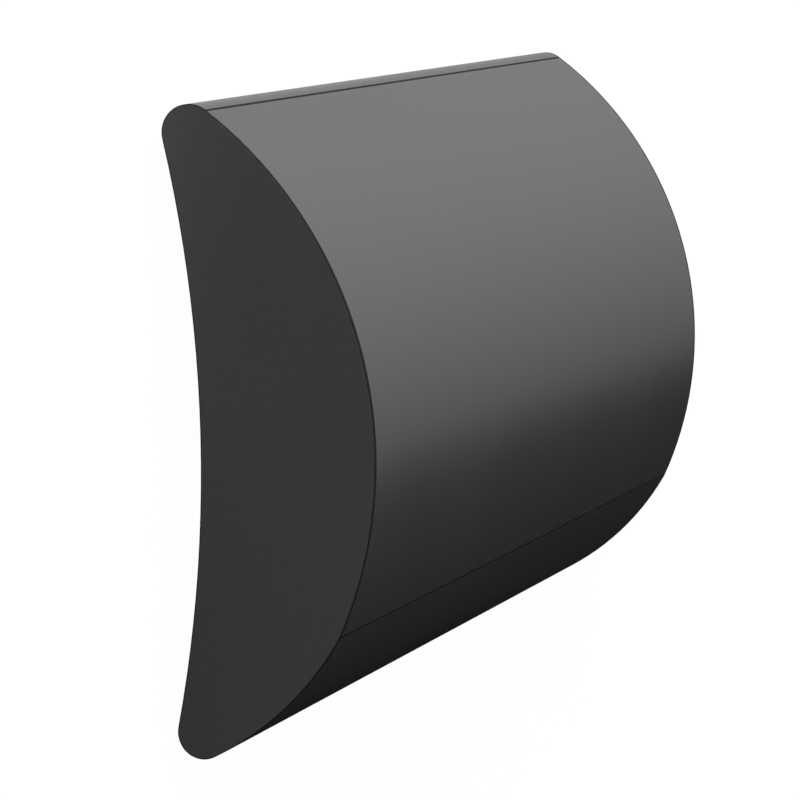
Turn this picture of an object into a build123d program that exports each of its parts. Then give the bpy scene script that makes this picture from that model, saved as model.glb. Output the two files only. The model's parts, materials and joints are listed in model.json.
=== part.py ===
from build123d import *
from math import atan2, cos, degrees, hypot, radians, sin, sqrt
import os

# Roof vent cover: a crescent-section hood, hinged along its nose, over a ducted roof base.
# Millimetres. +Z is up, away from the roof. X runs across the hood: nose at -X, tail at +X.
# Y runs along the hood. The origin is the centre of the base, on the roof surface.

# ---- driving dimensions of the hood outline ---------------------------------------------
HOOD_LENGTH = 712.0          # along Y, over both end cheeks
CROWN_R = 240.0              # large arc of the skin
MID_DEPTH = 103.0            # from the crown down to the top of the hollow underside
HOLLOW_R = 778.0             # arc of the hollow underside
HOLLOW_DX = -18.6            # hollow arc's centre, across from the crown arc's centre
NOSE_TIP_R = 16.0            # round along the hinge side
TAIL_TIP_R = 15.0            # round along the free side
TAIL_ARC_R = 180.0           # arc of the tail panel
TAIL_SEAM_DEG = 26.5         # skin-to-tail seam, measured from the vertical
TAIL_KINK_DEG = 5.2          # change of slope at that seam
TAIL_GAP = 5.0               # from the roof to the lowest point of the tail

# ---- walls and joints of the hood -------------------------------------------------------
WALL = 3.0                   # skin, nose strip, tail panel and under tray
SEAM_GAP = 1.4               # joint between neighbouring panels, filled by a bead
SPLICE_T = 2.0               # bonding strips behind the joints
SPLICE_W = 12.0              # reach of a bonding strip to each side of its joint
SPLICE_TIP_DEG = 50.0        # reach of a bonding strip round a tip
CHEEK_T = 4.0                # end plates, rim and plug together
CHEEK_RIM_T = 1.6            # rim of an end plate, outside the panels' ends
CHEEK_FIT = 0.3              # plug of an end plate to the panels, all round
END_SEAL_T = 0.8             # seal between the rim and the panels' ends
EDGING_T = 0.5               # lip of that seal round the rim
END_FRAME_T = 3.0            # ring that the end plates are screwed to
END_FRAME_W = 10.0
RIB_T = 3.0
RIB_DEPTH = 12.0
RIB_COUNT = 5
RIB_END_GAP = 8.0            # from a rib's end to the bonding strip

# ---- base -------------------------------------------------------------------------------
FLANGE_INSET = 75.0          # hood's end to the flange's end
NOSE_REACH = 55.0            # hinge axis to the flange's nose edge
TAIL_REACH = 56.0            # tail round's centre to the flange's tail edge
GASKET_T = 3.0
FLANGE_T = 3.0
FLANGE_CORNER_R = 12.0
FLANGE_SIDE_W = 35.0         # flange outside the upstand, long sides
FLANGE_END_W = 27.0          # flange outside the upstand, short sides
UPSTAND_T = 3.0
UPSTAND_CORNER_R = 10.0
LIP_W = 8.0                  # turned-out lip at the upstand's mouth
LIP_T = 3.0
LEDGE_W = 7.0                # inner ledge that carries the screen
LEDGE_T = 2.5
LEAST_CORNER_R = 0.5         # inner corner of a ring that is wider than its outer corner
ROOF_HOLE_R = 2.6
ROOF_HOLE_EDGE = 11.0        # roof screw to the flange's edge
ROOF_HOLE_MID_Y = 90.0       # the middle roof screws, each side of the centre

# ---- insect screen ----------------------------------------------------------------------
SCREEN_SEAL_T = 1.0
SCREEN_FRAME_T = 6.0
SCREEN_FRAME_W = 10.0
SCREEN_FIT = 0.6             # screen frame to the upstand, all round
MESH_T = 0.6
MESH_GRIP = 4.0              # mesh held inside the frame's groove
CLIP_Y = 120.0               # turn clips and fixed tabs, each side of the centre
CLIP_REACH = 18.0
CLIP_W = 9.0
CLIP_T = 2.5
CLIP_FIT = 0.2

# ---- rain baffle ------------------------------------------------------------------------
BAFFLE_SIDE = 16.8           # past the upstand's lip on each long side
BAFFLE_T = 2.0
BAFFLE_LIP = 24.0
BAFFLE_CLEAR = 5.0           # ribs to baffle
BAFFLE_OVERHANG = 8.0        # past the upstand's lip at each end
MOUTH_GAP = 16.0             # baffle to the upstand's mouth
HANGER_X = 60.0
HANGER_W = 16.0
HANGER_T = 3.0
HANGER_LAP = 7.0
HANGER_HEAD_R = 3.0

# ---- hinge ------------------------------------------------------------------------------
HINGE_Y = 190.0
ARM_W = 16.0
ARM_T = 4.0
ARM_NECK_T = 5.5
ARM_BEND_IN = 30.0           # hinge axis to the arm's bend, along X
ARM_SEAT = 27.0              # length of arm on the flange
ARM_NECK_LAP = 4.0           # neck carried over the seat, past the bend
ARM_SEAT_LAP = 1.0           # seat carried back under the bend
ARM_SCREW_DX = (-6.0, 7.0)   # arm screws along the seat, from its middle
KNUCKLE_R = 9.5
BUSH_R = 6.0
PIN_R = 4.0
PIN_FIT = 0.05
WASHER_T = 1.2
WASHER_R = 8.0
PIN_TIP = 1.5                # pin past its spring clip
PIN_HEAD_T = 2.0
BLOCK_SCREW_REACH = 10.0     # screw up into a hinge block, above the tray
ARM_SIDE_GAP = 1.5           # arm to each lug, filled by a friction washer
LUG_T = 6.0
LUG_R = 10.0
WEB_T = 8.0
WEB_HEIGHT = 9.0             # above the hinge axis
NOTCH_SIDE = 1.5             # notch to arm, each side
NOTCH_TO_X = 33.0            # hinge axis to the notch's inner end
NOTCH_TURN_DEG = 122.0       # notch in the nose strip, below the horizontal
LUG_REACH = 38.0             # hinge axis to the back of the web

# ---- under tray -------------------------------------------------------------------------
TRAY_OPEN_NOSE = 46.0        # hinge axis to the opening's nose edge
TRAY_OPEN_TAIL = 46.0        # tail round's centre to the opening's tail edge
TRAY_OPEN_END = 6.0          # upstand lip to the opening, each end
TRIM_T = 1.0
TRIM_REACH = 2.5
TRIM_END_DEG = 1.0           # trim stops short of the tray's joints

# ---- latches and buffers ----------------------------------------------------------------
LATCH_X = 60.0
LATCH_IN = 17.0              # latch spindle outside the flange's end
LATCH_REACH = 17.0
LATCH_W = 12.0
LATCH_T = 3.0
LATCH_UNDER_Z = 9.0
KNOB_R = 8.0
KNOB_T = 4.0
SPINDLE_R = 3.0
SPINDLE_HEAD_T = 3.0
BUTTON_T = 1.5               # button on the spindle, under the knob
KEEPER_W = 20.0
KEEPER_T = 2.0
KEEPER_GAP = 1.0             # latch to the keeper's tongue
KEEPER_IN = 9.0              # keeper's riser inside the flange's end
KEEPER_TONGUE = 14.0
KEEPER_FOOT = 12.0
KEEPER_SCREW_DX = 5.5
BUFFER_X = 90.0
BUFFER_IN = 5.0              # buffer's centre inside the flange's end
BUFFER_R = 5.0
BUFFER_TOP_R = 4.0
BUFFER_GAP = 0.3

# ---- fasteners --------------------------------------------------------------------------
SCREW_R = 2.0
SCREW_HEAD_R = 3.8
SCREW_HEAD_T = 2.4
SCREW_FIT = 0.05
BLIND = 2.5                  # depth of a cheek screw in its end plate
SCREW_TIP = 2.0              # screw showing past the last plate it holds
CROWN_SCREWS = (0.12, 0.31, 0.5, 0.69, 0.88)   # cheek screws, as shares of each arc's sweep
TAIL_SCREWS = (0.42, 0.85)
HOLLOW_SCREWS = (0.16, 0.38, 0.62, 0.84)


def polar(centre, radius, angle):
    """Point at an angle in degrees, measured from +X towards +Z."""
    return (centre[0] + radius * cos(radians(angle)), centre[1] + radius * sin(radians(angle)))


def heading(start, end):
    return degrees(atan2(end[1] - start[1], end[0] - start[0]))


def meet(c1, r1, c2, r2, side):
    """Crossing of two circles. side is +1 or -1, left or right of the line c1 to c2."""
    gap = hypot(c2[0] - c1[0], c2[1] - c1[1])
    along = (gap * gap + r1 * r1 - r2 * r2) / (2 * gap)
    off = side * sqrt(r1 * r1 - along * along)
    ux = (c2[0] - c1[0]) / gap
    uz = (c2[1] - c1[1]) / gap
    return (c1[0] + along * ux - off * uz, c1[1] + along * uz + off * ux)


def shift(point, dx, dz):
    return (point[0] + dx, point[1] + dz)


def outline_centres():
    """Centres of the outline's arcs, moved so that the base is centred and the tail clears the roof."""
    crown = (0.0, 0.0)
    hollow = (HOLLOW_DX, CROWN_R - MID_DEPTH - HOLLOW_R)
    nose = meet(crown, CROWN_R - NOSE_TIP_R, hollow, HOLLOW_R + NOSE_TIP_R, -1)
    seam = polar(crown, CROWN_R, 90 - TAIL_SEAM_DEG)
    tail_arc = polar(seam, -TAIL_ARC_R, 90 - TAIL_SEAM_DEG - TAIL_KINK_DEG)
    tail = meet(tail_arc, TAIL_ARC_R - TAIL_TIP_R, hollow, HOLLOW_R + TAIL_TIP_R, 1)
    dx = -(nose[0] + NOSE_REACH + tail[0] - TAIL_REACH) / 2
    dz = TAIL_GAP + TAIL_TIP_R - tail[1]
    return [shift(p, dx, dz) for p in (crown, hollow, nose, tail_arc, tail)]


CROWN, HOLLOW, NOSE, TAIL_ARC, TAIL = outline_centres()

# angles of the joints between the arcs
NOSE_SEAM = heading(CROWN, NOSE)
TAIL_SEAM = 90 - TAIL_SEAM_DEG
TAIL_TOP = TAIL_SEAM - TAIL_KINK_DEG
TAIL_TURN = heading(TAIL_ARC, TAIL)
TRAY_NOSE = heading(HOLLOW, NOSE)
TRAY_TAIL = heading(HOLLOW, TAIL)


def arc_z(centre, radius, x):
    return centre[1] + sqrt(radius * radius - (x - centre[0]) ** 2)


def under_z(x, reach=0.0):
    """Lowest height of the tray's underside within reach of x."""
    return min(arc_z(HOLLOW, HOLLOW_R, x - reach), arc_z(HOLLOW, HOLLOW_R, x + reach))


# ---- places along Y and heights worked out from the driving dimensions ------------------
CHEEK_IN = HOOD_LENGTH / 2 - CHEEK_RIM_T
PANEL_END = CHEEK_IN - END_SEAL_T
PLUG_IN = HOOD_LENGTH / 2 - CHEEK_T
FRAME_IN = PLUG_IN - END_FRAME_T
FLANGE_HALF_W = (TAIL[0] - TAIL_REACH - NOSE[0] - NOSE_REACH) / 2
FLANGE_HALF_L = HOOD_LENGTH / 2 - FLANGE_INSET
UPSTAND_HALF_W = FLANGE_HALF_W - FLANGE_SIDE_W
UPSTAND_HALF_L = FLANGE_HALF_L - FLANGE_END_W
FLANGE_TOP = GASKET_T + FLANGE_T
RIB_IN_R = CROWN_R - WALL - RIB_DEPTH
LIP_HALF_W = UPSTAND_HALF_W + LIP_W
LIP_HALF_L = UPSTAND_HALF_L + LIP_W
BAFFLE_HALF_W = LIP_HALF_W + BAFFLE_SIDE
BAFFLE_TOP = arc_z(CROWN, RIB_IN_R, -BAFFLE_HALF_W) - BAFFLE_CLEAR
MOUTH_Z = BAFFLE_TOP - BAFFLE_T - MOUTH_GAP
LEDGE_TOP = MOUTH_Z - CLIP_FIT - SCREEN_FRAME_T - SCREEN_SEAL_T
CLIP_X = UPSTAND_HALF_W + LIP_W / 2
BAFFLE_HALF_L = LIP_HALF_L + BAFFLE_OVERHANG
TRAY_OPEN_X = (NOSE[0] + TRAY_OPEN_NOSE, TAIL[0] - TRAY_OPEN_TAIL)
TRAY_OPEN_Y = LIP_HALF_L + TRAY_OPEN_END
LATCH_Y = FLANGE_HALF_L + LATCH_IN
RIB_PITCH = 2 * FRAME_IN / (RIB_COUNT + 1)
LUG_OUT = ARM_W / 2 + ARM_SIDE_GAP + LUG_T
WEB_X = (NOSE[0] + LUG_REACH - WEB_T, NOSE[0] + LUG_REACH)
BLOCK_SCREW_Y = LUG_OUT - LUG_T / 2


# ---- small builders ---------------------------------------------------------------------
def arc(centre, radius, a0, a1):
    return ThreePointArc(polar(centre, radius, a0), polar(centre, radius, (a0 + a1) / 2),
                         polar(centre, radius, a1))


def ring_sector(centre, r_out, r_in, a0, a1):
    outer = arc(centre, r_out, a0, a1)
    inner = arc(centre, r_in, a1, a0)
    return Face(Wire([outer, Line(outer @ 1, inner @ 0), inner, Line(inner @ 1, outer @ 0)]))


def section(inset):
    """Closed crescent outline, moved inwards by inset."""
    kink = meet(CROWN, CROWN_R - inset, TAIL_ARC, TAIL_ARC_R - inset, -1)
    crown_end = heading(CROWN, kink)
    tail_start = heading(TAIL_ARC, kink)
    edges = [
        arc(CROWN, CROWN_R - inset, NOSE_SEAM, crown_end),
        arc(TAIL_ARC, TAIL_ARC_R - inset, tail_start, TAIL_TURN),
        arc(TAIL, TAIL_TIP_R - inset, TAIL_TURN, TRAY_TAIL - 180),
        arc(HOLLOW, HOLLOW_R + inset, TRAY_TAIL, TRAY_NOSE),
        arc(NOSE, NOSE_TIP_R - inset, TRAY_NOSE + 180, NOSE_SEAM),
    ]
    return Face(Wire(edges))


def prism(face, y_lo, y_hi):
    """Extrude an X-Z outline from y_lo to y_hi."""
    return Pos(0, y_hi, 0) * extrude(Plane.XZ * face, y_hi - y_lo, dir=(0, -1, 0))


def block(x_lo, x_hi, y_lo, y_hi, z_lo, z_hi):
    size = Box(x_hi - x_lo, y_hi - y_lo, z_hi - z_lo)
    return Pos((x_lo + x_hi) / 2, (y_lo + y_hi) / 2, (z_lo + z_hi) / 2) * size


def post(x, y, z_lo, z_hi, radius):
    return Pos(x, y, (z_lo + z_hi) / 2) * Cylinder(radius, z_hi - z_lo)


def rod(point, y_lo, y_hi, radius):
    """Round bar along Y."""
    return prism(Pos(*point) * Circle(radius), y_lo, y_hi)


def frame_plate(half_w, half_l, corner, z_lo, z_hi):
    """Plate with rounded corners, centred on the origin."""
    sheet = RectangleRounded(2 * half_w, 2 * half_l, corner)
    return Pos(0, 0, z_lo) * extrude(sheet, z_hi - z_lo)


def frame_ring(half_w, half_l, corner, width, z_lo, z_hi):
    outer = frame_plate(half_w, half_l, corner, z_lo, z_hi)
    inner_corner = max(corner - width, LEAST_CORNER_R)
    return outer - frame_plate(half_w - width, half_l - width, inner_corner, z_lo, z_hi)


def screw_down(x, y, seat_z, depth):
    """Pan-head screw whose head sits on seat_z and whose shank runs down."""
    head = post(x, y, seat_z, seat_z + SCREW_HEAD_T, SCREW_HEAD_R)
    return head + post(x, y, seat_z - depth, seat_z, SCREW_R)


def both_ends(piece):
    return piece, mirror(piece, Plane.XZ)


def group(pieces):
    return Compound(children=list(pieces))


def drill(piece, points, z_lo, z_hi, radius=SCREW_R + SCREW_FIT):
    for x, y in points:
        piece -= post(x, y, z_lo, z_hi, radius)
    return piece


# ---- places of the fasteners ------------------------------------------------------------
def roof_hole_points():
    x = FLANGE_HALF_W - ROOF_HOLE_EDGE
    y = FLANGE_HALF_L - ROOF_HOLE_EDGE
    return [(sx * x, sy * far) for sx in (-1, 1) for sy in (-1, 1) for far in (y, ROOF_HOLE_MID_Y)]


def arm_screw_points(side):
    x = -FLANGE_HALF_W + ARM_SEAT / 2
    return [(x + dx, side * HINGE_Y) for dx in ARM_SCREW_DX]


def keeper_screw_points(side):
    y = side * (FLANGE_HALF_L - KEEPER_IN - KEEPER_FOOT / 2)
    return [(LATCH_X + dx, y) for dx in (-KEEPER_SCREW_DX, KEEPER_SCREW_DX)]


def clip_points(side_x):
    return [(side_x * CLIP_X, -CLIP_Y), (side_x * CLIP_X, CLIP_Y)]


def block_screw_points(side):
    x = sum(WEB_X) / 2
    return [(x, side * HINGE_Y + dy) for dy in (-BLOCK_SCREW_Y, BLOCK_SCREW_Y)]


def cheek_screw_points():
    inset = WALL + END_FRAME_W / 2
    crown = [polar(CROWN, CROWN_R - inset, TAIL_SEAM + t * (NOSE_SEAM - TAIL_SEAM))
             for t in CROWN_SCREWS]
    tail = [polar(TAIL_ARC, TAIL_ARC_R - inset, TAIL_TOP + t * (TAIL_TURN - TAIL_TOP))
            for t in TAIL_SCREWS]
    hollow = [polar(HOLLOW, HOLLOW_R + inset, TRAY_TAIL + t * (TRAY_NOSE - TRAY_TAIL))
              for t in HOLLOW_SCREWS]
    return crown + tail + hollow


def hanger_places():
    ribs = rib_centres()
    return [(x, ribs[i]) for i in (0, RIB_COUNT // 2, RIB_COUNT - 1) for x in (-HANGER_X, HANGER_X)]


def rib_centres():
    return [-FRAME_IN + RIB_PITCH * (i + 1) for i in range(RIB_COUNT)]


# ---- base pieces ------------------------------------------------------------------------
def base_frame():
    flange = frame_plate(FLANGE_HALF_W, FLANGE_HALF_L, FLANGE_CORNER_R, GASKET_T, FLANGE_TOP)
    wall = frame_plate(UPSTAND_HALF_W, UPSTAND_HALF_L, UPSTAND_CORNER_R, GASKET_T, MOUTH_Z)
    lip = frame_plate(LIP_HALF_W, LIP_HALF_L, UPSTAND_CORNER_R + LIP_W, MOUTH_Z - LIP_T, MOUTH_Z)
    inner_w = UPSTAND_HALF_W - UPSTAND_T
    inner_l = UPSTAND_HALF_L - UPSTAND_T
    inner_r = UPSTAND_CORNER_R - UPSTAND_T
    body = flange + wall + lip - frame_plate(inner_w, inner_l, inner_r, 0, MOUTH_Z)
    body += frame_ring(inner_w, inner_l, inner_r, LEDGE_W, LEDGE_TOP - LEDGE_T, LEDGE_TOP)
    body = drill(body, roof_hole_points(), 0, FLANGE_TOP, ROOF_HOLE_R)
    for side in (-1, 1):
        body = drill(body, arm_screw_points(side) + keeper_screw_points(side), GASKET_T, FLANGE_TOP)
        body = drill(body, clip_points(side), MOUTH_Z - LIP_T, MOUTH_Z)
    return body


def roof_gasket():
    width = FLANGE_SIDE_W + UPSTAND_T
    pad = frame_plate(FLANGE_HALF_W, FLANGE_HALF_L, FLANGE_CORNER_R, 0, GASKET_T)
    pad -= frame_plate(FLANGE_HALF_W - width, FLANGE_HALF_L - FLANGE_END_W - UPSTAND_T,
                       UPSTAND_CORNER_R - UPSTAND_T, 0, GASKET_T)
    return drill(pad, roof_hole_points(), 0, GASKET_T, ROOF_HOLE_R)


def screen_seal():
    half_w = UPSTAND_HALF_W - UPSTAND_T - SCREEN_FIT
    half_l = UPSTAND_HALF_L - UPSTAND_T - SCREEN_FIT
    return frame_ring(half_w, half_l, UPSTAND_CORNER_R - UPSTAND_T, LEDGE_W - SCREEN_FIT,
                      LEDGE_TOP, LEDGE_TOP + SCREEN_SEAL_T)


def insect_mesh():
    half_w = UPSTAND_HALF_W - UPSTAND_T - SCREEN_FIT - SCREEN_FRAME_W + MESH_GRIP
    half_l = UPSTAND_HALF_L - UPSTAND_T - SCREEN_FIT - SCREEN_FRAME_W + MESH_GRIP
    middle = LEDGE_TOP + SCREEN_SEAL_T + SCREEN_FRAME_T / 2
    return block(-half_w, half_w, -half_l, half_l, middle - MESH_T / 2, middle + MESH_T / 2)


def screen_frame():
    half_w = UPSTAND_HALF_W - UPSTAND_T - SCREEN_FIT
    half_l = UPSTAND_HALF_L - UPSTAND_T - SCREEN_FIT
    bottom = LEDGE_TOP + SCREEN_SEAL_T
    ring = frame_ring(half_w, half_l, UPSTAND_CORNER_R - UPSTAND_T, SCREEN_FRAME_W,
                      bottom, bottom + SCREEN_FRAME_T)
    return ring - insect_mesh()


def clip_plate(side_x, y):
    """Flat clip from its pivot on the lip to the screen frame, with a rounded end each side."""
    pivot_x = side_x * CLIP_X
    end_x = pivot_x - side_x * CLIP_REACH
    z_lo = MOUTH_Z + CLIP_FIT
    z_hi = z_lo + CLIP_T
    bar = block(min(pivot_x, end_x), max(pivot_x, end_x), y - CLIP_W / 2, y + CLIP_W / 2, z_lo, z_hi)
    bar += post(pivot_x, y, z_lo, z_hi, CLIP_W / 2) + post(end_x, y, z_lo, z_hi, CLIP_W / 2)
    return bar - post(pivot_x, y, z_lo, z_hi, SCREW_R + SCREW_FIT)


def screen_tabs():
    return group(clip_plate(-1, y) for y in (-CLIP_Y, CLIP_Y))


def clip_screws(side_x):
    seat = MOUTH_Z + CLIP_FIT + CLIP_T + CLIP_FIT
    return group(screw_down(x, y, seat, seat - MOUTH_Z + LIP_T) for x, y in clip_points(side_x))


def arm_outline():
    """Side view of a hinge arm: flat seat, oblique neck, round knuckle."""
    bend = (NOSE[0] + ARM_BEND_IN, FLANGE_TOP + ARM_T / 2)
    slope = heading(NOSE, bend)
    half = ARM_NECK_T / 2
    neck_top = polar(NOSE, half, slope + 90)
    neck_low = polar(NOSE, half, slope - 90)
    run_top = (bend[0] - half * sin(radians(slope)), bend[1] + half * cos(radians(slope)))
    reach = hypot(bend[0] - NOSE[0], bend[1] - NOSE[1])
    low_end = polar(neck_low, reach, slope)
    neck_end = run_top[0] + ARM_NECK_LAP
    neck = make_face(Polyline(neck_top, run_top, (neck_end, FLANGE_TOP + ARM_T), (neck_end, FLANGE_TOP),
                              (low_end[0], FLANGE_TOP), neck_low, close=True))
    seat_lo = bend[0] - ARM_SEAT_LAP
    seat_hi = -FLANGE_HALF_W + ARM_SEAT
    seat = Pos((seat_lo + seat_hi) / 2, FLANGE_TOP + ARM_T / 2) * Rectangle(seat_hi - seat_lo, ARM_T)
    return neck + seat + Pos(*NOSE) * Circle(KNUCKLE_R) - Pos(*NOSE) * Circle(BUSH_R)


def hinge_arm(side):
    y = side * HINGE_Y
    arm = prism(arm_outline(), y - ARM_W / 2, y + ARM_W / 2)
    return drill(arm, arm_screw_points(side), FLANGE_TOP, FLANGE_TOP + ARM_T)


def hinge_bush(side):
    y = side * HINGE_Y
    face = Pos(*NOSE) * Circle(BUSH_R) - Pos(*NOSE) * Circle(PIN_R + PIN_FIT)
    return prism(face, y - ARM_W / 2, y + ARM_W / 2)


def arm_screws():
    seat = FLANGE_TOP + ARM_T
    return group(screw_down(x, y, seat, ARM_T + FLANGE_T) for s in (-1, 1) for x, y in arm_screw_points(s))


def keeper(side):
    """Strip bent up from the flange, with a tongue that the latch turns under."""
    riser = FLANGE_HALF_L - KEEPER_IN
    top = LATCH_UNDER_Z + LATCH_T + KEEPER_GAP
    x_lo = LATCH_X - KEEPER_W / 2
    x_hi = LATCH_X + KEEPER_W / 2
    strip = block(x_lo, x_hi, riser - KEEPER_FOOT, riser, FLANGE_TOP, FLANGE_TOP + KEEPER_T)
    strip += block(x_lo, x_hi, riser - KEEPER_T, riser, FLANGE_TOP, top + KEEPER_T)
    strip += block(x_lo, x_hi, riser - KEEPER_T, riser + KEEPER_TONGUE, top, top + KEEPER_T)
    strip = drill(strip, keeper_screw_points(1), FLANGE_TOP, FLANGE_TOP + KEEPER_T)
    return strip if side > 0 else mirror(strip, Plane.XZ)


def keeper_screws():
    seat = FLANGE_TOP + KEEPER_T
    points = keeper_screw_points(-1) + keeper_screw_points(1)
    return group(screw_down(x, y, seat, KEEPER_T + FLANGE_T) for x, y in points)


def buffers():
    y = FLANGE_HALF_L - BUFFER_IN
    cones = []
    for x in (-BUFFER_X, BUFFER_X):
        height = under_z(x, BUFFER_TOP_R) - BUFFER_GAP - FLANGE_TOP
        cone = Pos(x, y, FLANGE_TOP + height / 2) * Cone(BUFFER_R, BUFFER_TOP_R, height)
        cones += both_ends(cone)
    return group(cones)


# ---- hood panels ------------------------------------------------------------------------
def hood_skin():
    gap = degrees(SEAM_GAP / CROWN_R)
    face = ring_sector(CROWN, CROWN_R, CROWN_R - WALL, TAIL_SEAM + gap, NOSE_SEAM - gap)
    return prism(face, -PANEL_END, PANEL_END)


def notch(side):
    """Space for a hinge arm through the nose strip and the tray over the whole travel."""
    reach = 3 * NOSE_TIP_R
    y = side * HINGE_Y
    half = ARM_W / 2 + NOTCH_SIDE
    turned = polar(NOSE, reach, -NOTCH_TURN_DEG)
    corner = (NOSE[0] + NOTCH_TO_X, NOSE[1])
    wedge = make_face(Polyline(NOSE, turned, (corner[0], turned[1]), corner, close=True))
    return prism(wedge, y - half, y + half)


def nose_strip():
    face = ring_sector(NOSE, NOSE_TIP_R, NOSE_TIP_R - WALL, NOSE_SEAM, TRAY_NOSE + 180)
    strip = prism(face, -PANEL_END, PANEL_END)
    return strip - notch(-1) - notch(1)


def tail_panel():
    band = ring_sector(TAIL_ARC, TAIL_ARC_R, TAIL_ARC_R - WALL, TAIL_TURN, TAIL_TOP)
    tip = ring_sector(TAIL, TAIL_TIP_R, TAIL_TIP_R - WALL, TRAY_TAIL - 180, TAIL_TURN)
    return prism(band + tip, -PANEL_END, PANEL_END)


def under_tray():
    face = ring_sector(HOLLOW, HOLLOW_R + WALL, HOLLOW_R, TRAY_TAIL, TRAY_NOSE)
    tray = prism(face, -PANEL_END, PANEL_END)
    tray -= block(*TRAY_OPEN_X, -TRAY_OPEN_Y, TRAY_OPEN_Y, 0, BAFFLE_TOP)
    tray = tray - notch(-1) - notch(1)
    for side in (-1, 1):
        tray = drill(tray, block_screw_points(side), 0, BAFFLE_TOP)
        tray -= post(LATCH_X, side * LATCH_Y, 0, BAFFLE_TOP, SPINDLE_R + SCREW_FIT)
    return tray


def tray_trim():
    """Channel-shaped edging round the tray's opening."""
    band = ring_sector(HOLLOW, HOLLOW_R + WALL + TRIM_T, HOLLOW_R - TRIM_T, TRAY_TAIL + TRIM_END_DEG,
                       TRAY_NOSE - TRIM_END_DEG)
    x_lo, x_hi = TRAY_OPEN_X
    keep = block(x_lo - TRIM_REACH, x_hi + TRIM_REACH, -TRAY_OPEN_Y - TRIM_REACH, TRAY_OPEN_Y + TRIM_REACH,
                 0, BAFFLE_TOP)
    inside = block(x_lo + TRIM_T, x_hi - TRIM_T, -TRAY_OPEN_Y + TRIM_T, TRAY_OPEN_Y - TRIM_T, 0, BAFFLE_TOP)
    tray = prism(ring_sector(HOLLOW, HOLLOW_R + WALL, HOLLOW_R, TRAY_TAIL, TRAY_NOSE), -PANEL_END, PANEL_END)
    tray -= block(x_lo, x_hi, -TRAY_OPEN_Y, TRAY_OPEN_Y, 0, BAFFLE_TOP)
    return (prism(band, -PANEL_END, PANEL_END) & keep) - inside - tray


def strip_behind(centre, radius, sign, a0, a1):
    """Bonding strip on the inner side of a panel. sign is -1 under a crown arc, +1 over the tray."""
    near = radius + sign * WALL
    far = near + sign * SPLICE_T
    return ring_sector(centre, max(near, far), min(near, far), a0, a1)


def nose_splice():
    """Strip bonded behind the skin-to-nose joint, with a bead that fills the joint."""
    turn = degrees(SPLICE_W / CROWN_R)
    face = strip_behind(CROWN, CROWN_R, -1, NOSE_SEAM - turn, NOSE_SEAM)
    face += strip_behind(NOSE, NOSE_TIP_R, -1, NOSE_SEAM, NOSE_SEAM + SPLICE_TIP_DEG)
    bead = ring_sector(CROWN, CROWN_R, CROWN_R - WALL, NOSE_SEAM - degrees(SEAM_GAP / CROWN_R), NOSE_SEAM)
    return prism(face, -FRAME_IN, FRAME_IN) + prism(bead, -PANEL_END, PANEL_END)


def tail_splice():
    """Strip bonded behind the skin-to-tail joint, with a bead that fills the joint."""
    kink = meet(CROWN, CROWN_R - WALL, TAIL_ARC, TAIL_ARC_R - WALL, -1)
    crown_turn = degrees(SPLICE_W / CROWN_R)
    tail_turn = degrees(SPLICE_W / TAIL_ARC_R)
    face = strip_behind(CROWN, CROWN_R, -1, heading(CROWN, kink), TAIL_SEAM + crown_turn)
    face += strip_behind(TAIL_ARC, TAIL_ARC_R, -1, TAIL_TOP - tail_turn, heading(TAIL_ARC, kink))
    bead = ring_sector(CROWN, CROWN_R, CROWN_R - WALL, TAIL_SEAM, TAIL_SEAM + degrees(SEAM_GAP / CROWN_R))
    bead -= ring_sector(TAIL_ARC, TAIL_ARC_R, TAIL_ARC_R - WALL, TAIL_TURN, TAIL_TOP)
    return prism(face, -FRAME_IN, FRAME_IN) + prism(bead, -PANEL_END, PANEL_END)


def nose_joiner():
    turn = degrees(SPLICE_W / HOLLOW_R)
    face = strip_behind(HOLLOW, HOLLOW_R, 1, TRAY_NOSE - turn, TRAY_NOSE)
    face += strip_behind(NOSE, NOSE_TIP_R, -1, TRAY_NOSE + 180 - SPLICE_TIP_DEG, TRAY_NOSE + 180)
    strip = prism(face, -FRAME_IN, FRAME_IN)
    for side in (-1, 1):
        y = side * HINGE_Y
        gap = LUG_OUT + WASHER_R
        strip -= block(NOSE[0] - NOSE_TIP_R, WEB_X[1], y - gap, y + gap, 0, NOSE[1] + NOSE_TIP_R)
    return strip


def tail_joiner():
    turn = degrees(SPLICE_W / HOLLOW_R)
    face = strip_behind(HOLLOW, HOLLOW_R, 1, TRAY_TAIL, TRAY_TAIL + turn)
    face += strip_behind(TAIL, TAIL_TIP_R, -1, TRAY_TAIL - 180, TRAY_TAIL - 180 + SPLICE_TIP_DEG)
    return prism(face, -FRAME_IN, FRAME_IN)


def hood_rib(centre_y):
    nose_turn = degrees((SPLICE_W + RIB_END_GAP) / CROWN_R)
    face = ring_sector(CROWN, CROWN_R - WALL, RIB_IN_R, TAIL_SEAM + nose_turn, NOSE_SEAM - nose_turn)
    rib = prism(face, centre_y - RIB_T / 2, centre_y + RIB_T / 2)
    for x, y in hanger_places():
        if y == centre_y:
            rib -= rod((x, hanger_screw_z(x)), y - RIB_T, y + RIB_T, SCREW_R + SCREW_FIT)
    return rib


# ---- hood ends --------------------------------------------------------------------------
def cut_cheek_holes(piece, y_hi):
    for point in cheek_screw_points():
        piece -= rod(point, FRAME_IN, y_hi, SCREW_R + SCREW_FIT)
    return piece


def end_cheek():
    """End plate: a rim that covers the panels' ends and a plug that fits inside them."""
    plate = prism(section(EDGING_T), CHEEK_IN, HOOD_LENGTH / 2)
    plate += prism(section(WALL + CHEEK_FIT), PLUG_IN, CHEEK_IN)
    return cut_cheek_holes(plate, PLUG_IN + BLIND)


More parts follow.
